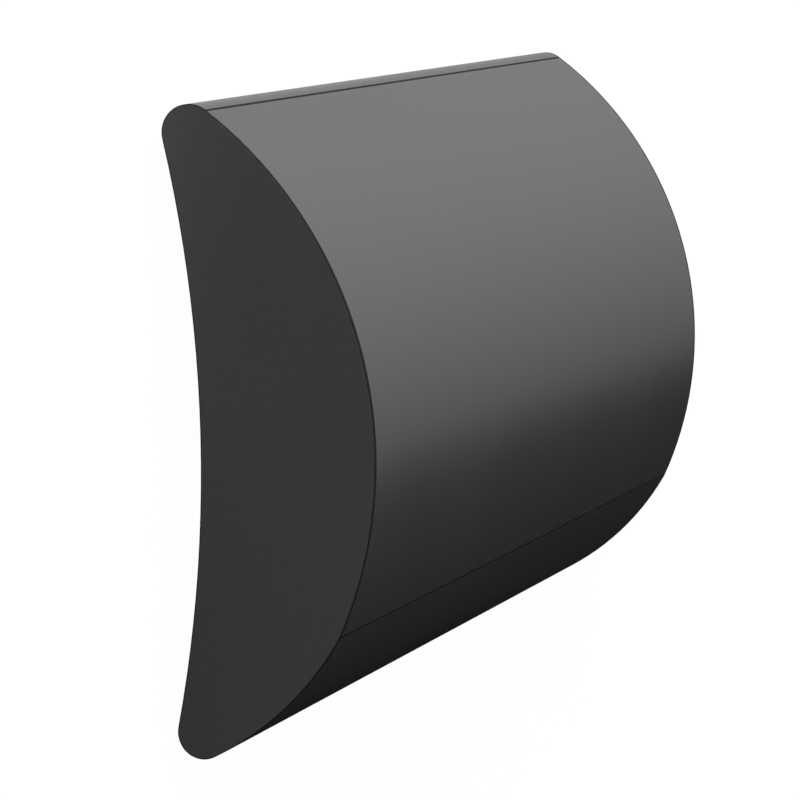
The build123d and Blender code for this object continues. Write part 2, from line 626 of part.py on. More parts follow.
def end_seal():
    """Seal under the rim of an end plate, with a lip round the rim."""
    flat = prism(section(0) - section(WALL), PANEL_END, CHEEK_IN)
    return flat + prism(section(0) - section(EDGING_T), CHEEK_IN, HOOD_LENGTH / 2)


def end_frame():
    ring = prism(section(WALL) - section(WALL + END_FRAME_W), FRAME_IN, PLUG_IN)
    return cut_cheek_holes(ring, PLUG_IN)


def cheek_screws():
    head = FRAME_IN - SCREW_HEAD_T
    return group(rod(p, head, FRAME_IN, SCREW_HEAD_R) + rod(p, FRAME_IN, PLUG_IN + BLIND, SCREW_R)
                 for p in cheek_screw_points())


# ---- rain baffle ------------------------------------------------------------------------
def rain_baffle():
    low = BAFFLE_TOP - BAFFLE_LIP
    tray = block(-BAFFLE_HALF_W, BAFFLE_HALF_W, -BAFFLE_HALF_L, BAFFLE_HALF_L, low, BAFFLE_TOP)
    inner_w = BAFFLE_HALF_W - BAFFLE_T
    inner_l = BAFFLE_HALF_L - BAFFLE_T
    tray -= block(-inner_w, inner_w, -inner_l, inner_l, low, BAFFLE_TOP - BAFFLE_T)
    points = [(x, y + RIB_T / 2 + HANGER_W / 2 + HANGER_T / 2) for x, y in hanger_places()]
    return drill(tray, points, BAFFLE_TOP - BAFFLE_T, BAFFLE_TOP)


def hanger_screw_z(x):
    return arc_z(CROWN, RIB_IN_R, x) + HANGER_LAP / 2


def baffle_hanger(x, y):
    face_y = y + RIB_T / 2
    top = arc_z(CROWN, RIB_IN_R, x) + HANGER_LAP
    x_lo = x - HANGER_W / 2
    x_hi = x + HANGER_W / 2
    strip = block(x_lo, x_hi, face_y, face_y + HANGER_T, BAFFLE_TOP, top)
    strip += block(x_lo, x_hi, face_y, face_y + HANGER_W, BAFFLE_TOP, BAFFLE_TOP + HANGER_T)
    strip -= rod((x, hanger_screw_z(x)), y, y + HANGER_W, SCREW_R + SCREW_FIT)
    foot_y = face_y + HANGER_W / 2 + HANGER_T / 2
    return drill(strip, [(x, foot_y)], BAFFLE_TOP, BAFFLE_TOP + HANGER_T)


def baffle_hangers():
    return group(baffle_hanger(x, y) for x, y in hanger_places())


def hanger_screws():
    screws = []
    for x, y in hanger_places():
        point = (x, hanger_screw_z(x))
        seat = y + RIB_T / 2 + HANGER_T
        screws.append(rod(point, seat, seat + SCREW_HEAD_T, HANGER_HEAD_R)
                      + rod(point, y - RIB_T / 2 - SCREW_TIP, seat, SCREW_R))
        foot_y = y + RIB_T / 2 + HANGER_W / 2 + HANGER_T / 2
        screws.append(screw_down(x, foot_y, BAFFLE_TOP + HANGER_T, HANGER_T + BAFFLE_T + SCREW_TIP))
    return group(screws)


# ---- hinge pieces on the hood -----------------------------------------------------------
def hinge_block(side):
    """Two lugs on a web, seated on the tray, each side of the hinge arm."""
    y = side * HINGE_Y
    inner = ARM_W / 2 + ARM_SIDE_GAP
    web_top = NOSE[1] + WEB_HEIGHT
    foot = Pos((NOSE[0] + WEB_X[1]) / 2, web_top / 2) * Rectangle(WEB_X[1] - NOSE[0], web_top)
    lug = (Pos(*NOSE) * Circle(LUG_R) + foot) & section(WALL)
    web = (Pos(sum(WEB_X) / 2, web_top / 2) * Rectangle(WEB_T, web_top)) & section(WALL)
    body = prism(web, y - LUG_OUT, y + LUG_OUT)
    for sign in (-1, 1):
        a = y + sign * inner
        b = y + sign * LUG_OUT
        body += prism(lug, min(a, b), max(a, b))
    body -= rod(NOSE, y - LUG_OUT, y + LUG_OUT, PIN_R)
    for x, sy in block_screw_points(side):
        body -= post(x, sy, 0, block_screw_top(x), SCREW_R + SCREW_FIT)
    return body


def block_screw_top(x):
    return arc_z(HOLLOW, HOLLOW_R + WALL, x) + BLOCK_SCREW_REACH


def block_screws():
    """Screws from under the tray up into each hinge block."""
    screws = []
    for side in (-1, 1):
        for x, y in block_screw_points(side):
            seat = under_z(x, SCREW_HEAD_R)
            screws.append(post(x, y, seat - SCREW_HEAD_T, seat, SCREW_HEAD_R)
                          + post(x, y, seat, block_screw_top(x), SCREW_R))
    return group(screws)


def hinge_pin(side):
    y = side * HINGE_Y
    length = LUG_OUT + WASHER_T + PIN_TIP
    pin = rod(NOSE, y - length, y + length, PIN_R)
    return pin + rod(NOSE, y + LUG_OUT, y + LUG_OUT + PIN_HEAD_T, BUSH_R)


def pin_clips():
    rings = []
    for side in (-1, 1):
        y = side * HINGE_Y - LUG_OUT
        ring = rod(NOSE, y - WASHER_T, y, BUSH_R) - rod(NOSE, y - WASHER_T, y, PIN_R)
        rings.append(ring)
    return group(rings)


def friction_washers():
    washers = []
    slack = (ARM_SIDE_GAP - WASHER_T) / 2
    for side in (-1, 1):
        for sign in (-1, 1):
            a = side * HINGE_Y + sign * (ARM_W / 2 + slack)
            b = a + sign * WASHER_T
            face = Pos(*NOSE) * Circle(WASHER_R) - Pos(*NOSE) * Circle(PIN_R + PIN_FIT)
            washers.append(prism(face, min(a, b), max(a, b)))
    return group(washers)


# ---- latches ----------------------------------------------------------------------------
def latch(side):
    """Turn latch under the tray, shown unlocked, with its finger along +X."""
    y = side * LATCH_Y
    top = LATCH_UNDER_Z + LATCH_T
    end_x = LATCH_X + LATCH_REACH
    bar = block(LATCH_X, end_x, y - LATCH_W / 2, y + LATCH_W / 2, LATCH_UNDER_Z, top)
    bar += post(end_x, y, LATCH_UNDER_Z, top, LATCH_W / 2)
    bar += post(LATCH_X, y, LATCH_UNDER_Z - KNOB_T, top, KNOB_R)
    return bar - post(LATCH_X, y, LATCH_UNDER_Z - KNOB_T, top, SPINDLE_R + PIN_FIT)


def latch_bosses():
    """Spacers between the latches and the tray's curved underside."""
    low = LATCH_UNDER_Z + LATCH_T + CLIP_FIT
    bosses = []
    for side in (-1, 1):
        boss = post(LATCH_X, side * LATCH_Y, low, BAFFLE_TOP, KNOB_R) - prism(section(0), -CHEEK_IN, CHEEK_IN)
        bosses.append(boss - post(LATCH_X, side * LATCH_Y, low, BAFFLE_TOP, SPINDLE_R + SCREW_FIT))
    return group(solid for boss in bosses for solid in boss.solids() if solid.center().Z < under_z(LATCH_X))


def latch_spindles():
    """Shouldered spindles: a head above the tray and a button under each knob."""
    button = LATCH_UNDER_Z - KNOB_T - CLIP_FIT
    seat = arc_z(HOLLOW, HOLLOW_R + WALL, LATCH_X - BUSH_R)
    return group(post(LATCH_X, s * LATCH_Y, button - BUTTON_T, button, BUSH_R)
                 + post(LATCH_X, s * LATCH_Y, button, seat, SPINDLE_R)
                 + post(LATCH_X, s * LATCH_Y, seat, seat + SPINDLE_HEAD_T, BUSH_R) for s in (-1, 1))


def build():
    cheek, seal, frame, screws = end_cheek(), end_seal(), end_frame(), cheek_screws()
    nodes = {
        "base_frame": base_frame(),
        "roof_gasket": roof_gasket(),
        "screen_seal": screen_seal(),
        "screen_frame": screen_frame(),
        "insect_mesh": insect_mesh(),
        "screen_tabs": screen_tabs(),
        "tab_screws": clip_screws(-1),
        "screen_clip_left": clip_plate(1, -CLIP_Y),
        "screen_clip_right": clip_plate(1, CLIP_Y),
        "clip_screws": clip_screws(1),
        "arm_screws": arm_screws(),
        "keeper_screws": keeper_screws(),
        "buffers": buffers(),
        "hood_skin": hood_skin(),
        "nose_strip": nose_strip(),
        "tail_panel": tail_panel(),
        "under_tray": under_tray(),
        "tray_edge_trim": tray_trim(),
        "nose_seam_strip": nose_splice(),
        "tail_seam_strip": tail_splice(),
        "nose_tray_joiner": nose_joiner(),
        "tail_tray_joiner": tail_joiner(),
        "rain_baffle": rain_baffle(),
        "baffle_hangers": baffle_hangers(),
        "hanger_screws": hanger_screws(),
        "hinge_block_screws": block_screws(),
        "hinge_pin_clips": pin_clips(),
        "friction_washers": friction_washers(),
        "latch_bosses": latch_bosses(),
        "latch_spindles": latch_spindles(),
    }
    for name, side in (("left", -1), ("right", 1)):
        nodes[f"hinge_arm_{name}"] = hinge_arm(side)
        nodes[f"hinge_bush_{name}"] = hinge_bush(side)
        nodes[f"hinge_block_{name}"] = hinge_block(side)
        nodes[f"hinge_pin_{name}"] = hinge_pin(side)
        nodes[f"latch_{name}"] = latch(side)
        nodes[f"latch_keeper_{name}"] = keeper(side)
        nodes[f"end_cheek_{name}"] = cheek if side > 0 else mirror(cheek, Plane.XZ)
        nodes[f"end_seal_{name}"] = seal if side > 0 else mirror(seal, Plane.XZ)
        nodes[f"end_frame_{name}"] = frame if side > 0 else mirror(frame, Plane.XZ)
        nodes[f"cheek_screws_{name}"] = screws if side > 0 else mirror(screws, Plane.XZ)
    for number, centre_y in enumerate(rib_centres(), 1):
        nodes[f"hood_rib_{number}"] = hood_rib(centre_y)
    return nodes


os.makedirs("parts", exist_ok=True)
for node_name, shape in build().items():
    export_step(shape, f"parts/{node_name}.step")
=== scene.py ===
import json
from math import atan2, cos, degrees, hypot, pi, radians, sin, sqrt

import bmesh
import bpy
from mathutils import Matrix, Vector


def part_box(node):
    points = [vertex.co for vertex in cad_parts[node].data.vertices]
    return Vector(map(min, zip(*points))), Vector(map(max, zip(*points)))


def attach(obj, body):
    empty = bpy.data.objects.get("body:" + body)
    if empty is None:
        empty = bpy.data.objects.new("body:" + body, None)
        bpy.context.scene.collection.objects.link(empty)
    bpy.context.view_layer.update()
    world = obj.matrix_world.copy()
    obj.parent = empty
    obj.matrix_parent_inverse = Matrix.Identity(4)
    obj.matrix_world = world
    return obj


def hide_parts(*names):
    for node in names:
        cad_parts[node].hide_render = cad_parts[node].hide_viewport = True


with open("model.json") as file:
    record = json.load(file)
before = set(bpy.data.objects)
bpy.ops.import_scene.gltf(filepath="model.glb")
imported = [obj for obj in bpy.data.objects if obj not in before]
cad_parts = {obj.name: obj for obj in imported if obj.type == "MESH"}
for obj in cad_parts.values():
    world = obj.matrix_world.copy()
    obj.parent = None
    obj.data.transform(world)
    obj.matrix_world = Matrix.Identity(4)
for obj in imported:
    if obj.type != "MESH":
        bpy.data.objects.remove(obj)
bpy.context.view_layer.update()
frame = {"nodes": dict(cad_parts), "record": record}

# Roof vent cover. Metres. +Z is up from the roof, Y runs along the hood, the nose is at -X.

# ---- outline of the hood, the same arcs as the frame ------------------------------------
CROWN_R = 0.240
MID_DEPTH = 0.103
HOLLOW_R = 0.778
HOLLOW_DX = -0.0186
NOSE_TIP_R = 0.016
TAIL_TIP_R = 0.015
TAIL_ARC_R = 0.180
TAIL_SEAM_DEG = 26.5
TAIL_KINK_DEG = 5.2
WALL = 0.003
SEAM_GAP = 0.0014
CHEEK_RIM_T = 0.0016
CHEEK_FIT = 0.0003
EDGING_T = 0.0005

# ---- finish of the panels ---------------------------------------------------------------
PANEL_EDGE = 0.0002          # rounding along the edges of the hood's panels
PART_EDGE = 0.0003           # rounding along the edges of small parts
EDGE_STEPS = 2
SHARP_DEG = 28.0
ARC_STEP_DEG = 1.0           # facets of the large arcs
TIP_STEP_DEG = 5.0           # facets of the rounded tips
WELD = 0.00001
FLAT_DEG = 0.6
NOISE_ROUGHNESS = 0.55       # how broken up every weathering pattern is

# ---- repeated parts ---------------------------------------------------------------------
NOTCH_SPARE = 0.0015         # room on each side of a hinge arm in its notch
NOTCH_REACH = 3 * NOSE_TIP_R
NOTCH_TURN_DEG = -122.0
NOTCH_DEPTH = 0.033
SCREW_HEAD_R = 0.0038
SCREW_HEAD_T = 0.0024
SCREW_SHANK_R = 0.0020
THREAD_PITCH = 0.0008
THREAD_ROOT = 0.86           # root radius over shank radius
MESH_PITCH = 0.0025
MESH_MARGIN = 0.002

# ---- stage ------------------------------------------------------------------------------
FLOOR_HALF = 40.0
FLOOR_DROP = 0.0002          # the floor lies just under the gasket
BACKDROP = 1.03              # brightness of the floor and backdrop that the camera sees
# painted shade on the floor, seen only in the part's reflections and not by the camera
FLOOR_SHADE = (0.72, 0.03)   # what the part mirrors of the floor, from the nose side to the tail side
END_SHADE = 0.16             # the same, past the left end
SKY_FLOOR = 0.019            # light from the dark part of the sky
SKY_EDGE = (0.095, 0.225)    # where the bright part ends, towards the tail
SKY_BRIGHT = 1.07
SKY_RAGGED = 0.14            # how much the cloud noise moves that edge
SKY_CLOUD = 2.4
SKY_CLOUD_STRETCH = (9.0, 0.8, 1.6)
SKY_TO_NOSE = (-0.4, 0.3, 0.450, -0.320)
SKY_UPWARDS = (0.0, 0.35, 0.0, 0.32)
SKY_LEVEL = 0.0744
SKY_TINT = (1.0, 0.998, 0.99, 1)
SOFTBOX_AT = (-4.58, -3.30, 2.04)
SOFTBOX_SIZE = 3.0
SOFTBOX_WATTS = 242.0
SOFTBOX_AIM = (0, 0, 0.06)
FILL_AT = (0.30, 0, -0.95)
FILL_SIZE = (0.30, 0.60)
FILL_WATTS = 16.0
SENSOR_MM = 36.0
LENS_MM = 203.3
CAMERA_FROM_AXIS = (-1.2317, -9.8073, 4.3098)   # in crown radii, from the near end of the crown arc's axis
CAMERA_RIGHT = (0.03534, 0.31030, 0.94998)
CAMERA_UP = (-0.99358, 0.11316, 0.0)

# ---- which body and finish each node has ------------------------------------------------
SLOT_OF = {entry["node"]: entry["material_slot"] for entry in frame["record"]["subparts"]}
BODIES = frame["record"]["behaviour"]["bodies"]
BODY_OF = {node: body for body, nodes in BODIES.items() for node in nodes}


# ---- outline ----------------------------------------------------------------------------
def polar(centre, radius, angle):
    return (centre[0] + radius * cos(radians(angle)), centre[1] + radius * sin(radians(angle)))


def heading(start, end):
    return degrees(atan2(end[1] - start[1], end[0] - start[0]))


def meet(c1, r1, c2, r2, side):
    gap = hypot(c2[0] - c1[0], c2[1] - c1[1])
    along = (gap * gap + r1 * r1 - r2 * r2) / (2 * gap)
    off = side * sqrt(r1 * r1 - along * along)
    ux = (c2[0] - c1[0]) / gap
    uz = (c2[1] - c1[1]) / gap
    return (c1[0] + along * ux - off * uz, c1[1] + along * uz + off * ux)


def outline_centres():
    """Centres of the hood's arcs, placed by the frame's end seal, which has the full outline."""
    crown = (0.0, 0.0)
    hollow = (HOLLOW_DX, CROWN_R - MID_DEPTH - HOLLOW_R)
    nose = meet(crown, CROWN_R - NOSE_TIP_R, hollow, HOLLOW_R + NOSE_TIP_R, -1)
    seam = polar(crown, CROWN_R, 90 - TAIL_SEAM_DEG)
    tail_arc = polar(seam, -TAIL_ARC_R, 90 - TAIL_SEAM_DEG - TAIL_KINK_DEG)
    tail = meet(tail_arc, TAIL_ARC_R - TAIL_TIP_R, hollow, HOLLOW_R + TAIL_TIP_R, 1)
    low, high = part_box("end_seal_right")
    dx = low.x + NOSE_TIP_R - nose[0]
    dz = high.z - CROWN_R
    return [(p[0] + dx, p[1] + dz) for p in (crown, hollow, nose, tail_arc, tail)]


CROWN, HOLLOW, NOSE, TAIL_ARC, TAIL = outline_centres()
NOSE_SEAM = heading(CROWN, NOSE)
TAIL_SEAM = 90 - TAIL_SEAM_DEG
TAIL_TOP = TAIL_SEAM - TAIL_KINK_DEG
TAIL_TURN = heading(TAIL_ARC, TAIL)
TRAY_NOSE = heading(HOLLOW, NOSE)
TRAY_TAIL = heading(HOLLOW, TAIL)


def arc_points(centre, radius, a0, a1, step):
    count = max(2, round(abs(a1 - a0) / step))
    return [polar(centre, radius, a0 + (a1 - a0) * i / count) for i in range(count + 1)]


def joined(*runs):
    """One run of points from several, without repeating the points where they meet."""
    points = []
    for run in runs:
        for point in run:
            if not points or hypot(point[0] - points[-1][0], point[1] - points[-1][1]) > WELD:
                points.append(point)
    if hypot(points[0][0] - points[-1][0], points[0][1] - points[-1][1]) < WELD:
        points.pop()
    return points


def crescent(inset):
    kink = meet(CROWN, CROWN_R - inset, TAIL_ARC, TAIL_ARC_R - inset, -1)
    return joined(
        arc_points(CROWN, CROWN_R - inset, NOSE_SEAM, heading(CROWN, kink), ARC_STEP_DEG),
        arc_points(TAIL_ARC, TAIL_ARC_R - inset, heading(TAIL_ARC, kink), TAIL_TURN, ARC_STEP_DEG),
        arc_points(TAIL, TAIL_TIP_R - inset, TAIL_TURN, TRAY_TAIL - 180, TIP_STEP_DEG),
        arc_points(HOLLOW, HOLLOW_R + inset, TRAY_TAIL, TRAY_NOSE, ARC_STEP_DEG / 2),
        arc_points(NOSE, NOSE_TIP_R - inset, TRAY_NOSE + 180, NOSE_SEAM, TIP_STEP_DEG),
    )


def sector_points(centre, r_out, r_in, a0, a1, step):
    return arc_points(centre, r_out, a0, a1, step) + arc_points(centre, r_in, a1, a0, step)


# ---- mesh helpers -----------------------------------------------------------------------
def mesh_object(name, bm):
    data = bpy.data.meshes.new(name)
    bm.normal_update()
    bm.to_mesh(data)
    bm.free()
    piece = bpy.data.objects.new(name, data)
    bpy.context.scene.collection.objects.link(piece)
    return piece


def smooth_with_sharp_edges(bm, sharp_deg=SHARP_DEG):
    limit = radians(sharp_deg)
    for face in bm.faces:
        face.smooth = True
    for edge in bm.edges:
        edge.smooth = len(edge.link_faces) == 2 and edge.calc_face_angle(0.0) < limit


def extruded(name, loops, y_lo, y_hi):
    """Solid between two planes of constant Y. The first loop is the outside, the others are holes."""
    bm = bmesh.new()
    caps = {}
    for y in (y_lo, y_hi):
        rings = []
        for loop in loops:
            verts = [bm.verts.new((x, y, z)) for x, z in loop]
            rings.append(verts)
            for i, vert in enumerate(verts):
                bm.edges.new((vert, verts[(i + 1) % len(verts)]))
        caps[y] = rings
    for near, far in zip(caps[y_lo], caps[y_hi]):
        for i in range(len(near)):
            j = (i + 1) % len(near)
            bm.faces.new((near[i], near[j], far[j], far[i]))
    for y in (y_lo, y_hi):
        edges = [e for e in bm.edges if all(abs(v.co.y - y) < WELD for v in e.verts)]
        if len(loops) == 1:
            bm.faces.new(caps[y][0])
        else:
            bmesh.ops.triangle_fill(bm, edges=edges, use_beauty=True)
    bmesh.ops.recalc_face_normals(bm, faces=bm.faces)
    smooth_with_sharp_edges(bm)
    return mesh_object(name, bm)


def round_edges(piece, width, steps=EDGE_STEPS):
    bevel = piece.modifiers.new("round_edges", "BEVEL")
    bevel.width = width
    bevel.segments = steps
    bevel.limit_method = "ANGLE"
    bevel.angle_limit = radians(SHARP_DEG + 4)
    bevel.harden_normals = True
    bevel.use_clamp_overlap = True
    return piece


def merged_copy(node, name):
    """Copy of a CAD node's mesh with its triangles joined up and its flat faces made whole."""
    bm = bmesh.new()
    bm.from_mesh(frame["nodes"][node].data)
    bmesh.ops.remove_doubles(bm, verts=bm.verts, dist=WELD)
    bmesh.ops.dissolve_limit(bm, angle_limit=radians(FLAT_DEG), verts=bm.verts, edges=bm.edges)
    smooth_with_sharp_edges(bm)
    return mesh_object(name, bm)


def cut_with(piece, cutters):
    """Boolean cuts, applied, so that the piece keeps one plain mesh."""
    for cutter in cutters:
        cut = piece.modifiers.new("cut", "BOOLEAN")
        cut.operation = "DIFFERENCE"
        cut.solver = "EXACT"
        cut.object = cutter
    applied(piece)
    for cutter in cutters:
        bpy.data.objects.remove(cutter)
    return piece


def applied(piece):
    bpy.context.view_layer.update()
    graph = bpy.context.evaluated_depsgraph_get()
    data = bpy.data.meshes.new_from_object(piece.evaluated_get(graph))
    piece.modifiers.clear()
    piece.data = data
    return piece


def place(piece, body, slot, *nodes):
    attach(piece, body)
    if nodes:
        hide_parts(*nodes)
    return piece


def islands(node):
    """Boxes of the separate solids in a CAD node."""
    bm = bmesh.new()
    bm.from_mesh(frame["nodes"][node].data)
    bmesh.ops.remove_doubles(bm, verts=bm.verts, dist=WELD)
    left = set(bm.verts)
    boxes = []
    while left:
        stack = [left.pop()]
        seen = []
        while stack:
            vert = stack.pop()
            seen.append(vert.co.copy())
            for edge in vert.link_edges:
                other = edge.other_vert(vert)
                if other in left:
                    left.remove(other)
                    stack.append(other)
        low = Vector(min(co[i] for co in seen) for i in range(3))
        high = Vector(max(co[i] for co in seen) for i in range(3))
        boxes.append((low, high))
    bm.free()
    return sorted(boxes, key=lambda b: (round(b[0].x, 4), round(b[0].y, 4), b[0].z))


# ---- shader node groups -----------------------------------------------------------------
def node_group(name, inputs, outputs):
    group = bpy.data.node_groups.new(name, "ShaderNodeTree")
    for label, kind, value in inputs:
        socket = group.interface.new_socket(label, in_out="INPUT", socket_type=kind)
        socket.default_value = value
    for label, kind in outputs:
        group.interface.new_socket(label, in_out="OUTPUT", socket_type=kind)
    return group


def add(tree, kind, **settings):
    node = tree.nodes.new(kind)
    for key, value in settings.items():
        setattr(node, key, value)
    return node


def math(tree, operation, a, b=None, clamp=False):
    node = add(tree, "ShaderNodeMath", operation=operation, use_clamp=clamp)
    for i, value in enumerate((a, b)):
        if value is None:
            continue
        if isinstance(value, (int, float)):
            node.inputs[i].default_value = value
        else:
            tree.links.new(value, node.inputs[i])
    return node.outputs[0]


def map_range(tree, value, lo, hi, out_lo=0.0, out_hi=1.0, smooth=True):
    node = add(tree, "ShaderNodeMapRange")
    node.interpolation_type = "SMOOTHSTEP" if smooth else "LINEAR"
    tree.links.new(value, node.inputs["Value"])
    for label, number in (("From Min", lo), ("From Max", hi), ("To Min", out_lo), ("To Max", out_hi)):
        node.inputs[label].default_value = number
    return node.outputs["Result"]


def stretched_noise(tree, scale, detail, stretch=(1, 1, 1), shift=(0, 0, 0)):
    coord = add(tree, "ShaderNodeTexCoord")
    mapping = add(tree, "ShaderNodeMapping")
    mapping.inputs["Scale"].default_value = stretch
    mapping.inputs["Location"].default_value = shift
    noise = add(tree, "ShaderNodeTexNoise")
    noise.inputs["Scale"].default_value = scale
    noise.inputs["Detail"].default_value = detail
    noise.inputs["Roughness"].default_value = NOISE_ROUGHNESS
    tree.links.new(coord.outputs["Object"], mapping.inputs["Vector"])
    tree.links.new(mapping.outputs["Vector"], noise.inputs["Vector"])
    return noise.outputs["Fac"]


def colour_sockets(node):
    """The Mix node keeps one set of sockets per data type; these are the colour ones."""
    return [s for s in node.inputs if s.type == "RGBA"]


def mix_rgb(tree, factor, a, b):
    node = add(tree, "ShaderNodeMix", data_type="RGBA")
    fac = [s for s in node.inputs if s.name == "Factor" and s.type == "VALUE"][0]
    first, second = colour_sockets(node)
    for socket, value in ((fac, factor), (first, a), (second, b)):
        if isinstance(value, (int, float, tuple)):
            socket.default_value = value
        else:
            tree.links.new(value, socket)
    return [s for s in node.outputs if s.type == "RGBA"][0]


def group_ends(group):
    return add(group, "NodeGroupInput"), add(group, "NodeGroupOutput")


def weathered_skin_group():
    """Colour drift, rain streaks and fine grain of an outdoor moulding."""
    group = node_group(
        "weathered_skin",
        [("Colour", "NodeSocketColor", (0.05, 0.05, 0.05, 1)), ("Drift", "NodeSocketFloat", 0.15),
         ("Streaks", "NodeSocketFloat", 0.1), ("Roughness", "NodeSocketFloat", 0.3),
         ("Spread", "NodeSocketFloat", 0.06)],
        [("Colour", "NodeSocketColor"), ("Roughness", "NodeSocketFloat"), ("Height", "NodeSocketFloat")],
    )
    start, end = group_ends(group)
    drift = map_range(group, stretched_noise(group, scale=7.0, detail=5.0), 0.3, 0.7)
    runs = stretched_noise(group, scale=26.0, stretch=(0.10, 1.0, 0.10), detail=5.0)
    streak = map_range(group, runs, 0.42, 0.72)
    grain = stretched_noise(group, scale=1500.0, detail=2.0)
    ripple = stretched_noise(group, scale=45.0, detail=2.0, shift=(3, 1, 2))
    pale = add(group, "ShaderNodeHueSaturation")
    pale.inputs["Saturation"].default_value = 0.9
    pale.inputs["Value"].default_value = 1.35
    group.links.new(start.outputs["Colour"], pale.inputs["Color"])
    drift_amount = math(group, "MULTIPLY", drift, start.outputs["Drift"])
    streak_amount = math(group, "MULTIPLY", streak, start.outputs["Streaks"])
    total = math(group, "ADD", drift_amount, streak_amount, clamp=True)
    colour = mix_rgb(group, total, start.outputs["Colour"], pale.outputs["Color"])
    group.links.new(colour, end.inputs["Colour"])
    wave = math(group, "MULTIPLY", math(group, "SUBTRACT", drift, 0.5), start.outputs["Spread"])
    rough = math(group, "ADD", start.outputs["Roughness"], wave)
    rough = math(group, "ADD", rough, math(group, "MULTIPLY", streak_amount, 0.12), clamp=True)
    group.links.new(rough, end.inputs["Roughness"])
    height = math(group, "ADD", math(group, "MULTIPLY", grain, 0.25), math(group, "MULTIPLY", ripple, 0.75))
    group.links.new(height, end.inputs["Height"])
    return group


def edge_wear_group():
    """Mask of rubbed edges: high where the surface turns sharply outwards."""
    group = node_group(
        "edge_wear",
        [("Amount", "NodeSocketFloat", 0.5), ("Breakup", "NodeSocketFloat", 120.0)],
        [("Mask", "NodeSocketFloat")],
    )
    start, end = group_ends(group)
    geometry = add(group, "ShaderNodeNewGeometry")
    turned = map_range(group, geometry.outputs["Pointiness"], 0.52, 0.60)
    coord = add(group, "ShaderNodeTexCoord")
    noise = add(group, "ShaderNodeTexNoise")
    noise.inputs["Detail"].default_value = 4.0
    group.links.new(coord.outputs["Object"], noise.inputs["Vector"])
    group.links.new(start.outputs["Breakup"], noise.inputs["Scale"])
    broken = map_range(group, noise.outputs["Fac"], 0.40, 0.62)
    rubbed = math(group, "MULTIPLY", turned, broken)
    mask = math(group, "MULTIPLY", rubbed, start.outputs["Amount"], clamp=True)
    group.links.new(mask, end.inputs["Mask"])
    return group


def rolled_metal_group():
    """Fine grain of rolled or brushed metal along one direction, with handling marks."""
    group = node_group(
        "rolled_metal",
        [("Colour", "NodeSocketColor", (0.5, 0.5, 0.5, 1)), ("Roughness", "NodeSocketFloat", 0.35)],
        [("Colour", "NodeSocketColor"), ("Roughness", "NodeSocketFloat"), ("Height", "NodeSocketFloat")],
    )
    start, end = group_ends(group)
    grain = stretched_noise(group, scale=700.0, stretch=(1, 0.03, 1), detail=3.0)
    stain = map_range(group, stretched_noise(group, scale=14.0, detail=6.0), 0.35, 0.75)
    dark = add(group, "ShaderNodeHueSaturation")
    dark.inputs["Value"].default_value = 0.72
    group.links.new(start.outputs["Colour"], dark.inputs["Color"])
    stained = math(group, "MULTIPLY", stain, 0.5)
    factor = math(group, "ADD", stained, math(group, "MULTIPLY", grain, 0.35), clamp=True)
    colour = mix_rgb(group, factor, start.outputs["Colour"], dark.outputs["Color"])
    group.links.new(colour, end.inputs["Colour"])
    rough = math(group, "ADD", start.outputs["Roughness"], math(group, "MULTIPLY", stain, 0.14))
    rough = math(group, "ADD", rough, math(group, "MULTIPLY", grain, 0.10), clamp=True)
    group.links.new(rough, end.inputs["Roughness"])
    group.links.new(grain, end.inputs["Height"])
    return group


SKIN_GROUP = weathered_skin_group()
WEAR_GROUP = edge_wear_group()
METAL_GROUP = rolled_metal_group()


def new_material(name):
    material = bpy.data.materials.new(name)
    material.use_nodes = True
    tree = material.node_tree
    return material, tree, tree.nodes["Principled BSDF"]


def use_group(tree, group, **values):
    node = add(tree, "ShaderNodeGroup")
    node.node_tree = group
    for label, value in values.items():
        node.inputs[label].default_value = value
    return node


def bump_from(tree, height, shader, strength, distance):
    bump = add(tree, "ShaderNodeBump")
    bump.inputs["Strength"].default_value = strength
    bump.inputs["Distance"].default_value = distance
    tree.links.new(height, bump.inputs["Height"])
    tree.links.new(bump.outputs["Normal"], shader.inputs["Normal"])


def plastic(name, colour, roughness, worn, drift, streaks, spread, wear, bump):
    """Moulded plastic with weathering and rubbed edges."""
    material, tree, shader = new_material(name)
    skin = use_group(tree, SKIN_GROUP, Colour=(*colour, 1), Drift=drift, Streaks=streaks,
                     Roughness=roughness, Spread=spread)
    mask = use_group(tree, WEAR_GROUP, Amount=wear, Breakup=160.0)
    base = mix_rgb(tree, mask.outputs["Mask"], skin.outputs["Colour"], (*worn, 1))
    tree.links.new(base, shader.inputs["Base Color"])
    rubbed = math(tree, "MULTIPLY", mask.outputs["Mask"], 0.2)
    rough = math(tree, "ADD", skin.outputs["Roughness"], rubbed, clamp=True)
    tree.links.new(rough, shader.inputs["Roughness"])
    bump_from(tree, skin.outputs["Height"], shader, bump, 0.0002)
    return material


def metal(name, colour, roughness, metallic=1.0, wear=0.4, worn=(0.75, 0.75, 0.74), bump=0.08):
    material, tree, shader = new_material(name)
    grain = use_group(tree, METAL_GROUP, Colour=(*colour, 1), Roughness=roughness)
    mask = use_group(tree, WEAR_GROUP, Amount=wear, Breakup=220.0)
    base = mix_rgb(tree, mask.outputs["Mask"], grain.outputs["Colour"], (*worn, 1))
    tree.links.new(base, shader.inputs["Base Color"])
    tree.links.new(grain.outputs["Roughness"], shader.inputs["Roughness"])
    shader.inputs["Metallic"].default_value = metallic
    bump_from(tree, grain.outputs["Height"], shader, bump, 0.0001)
    return material


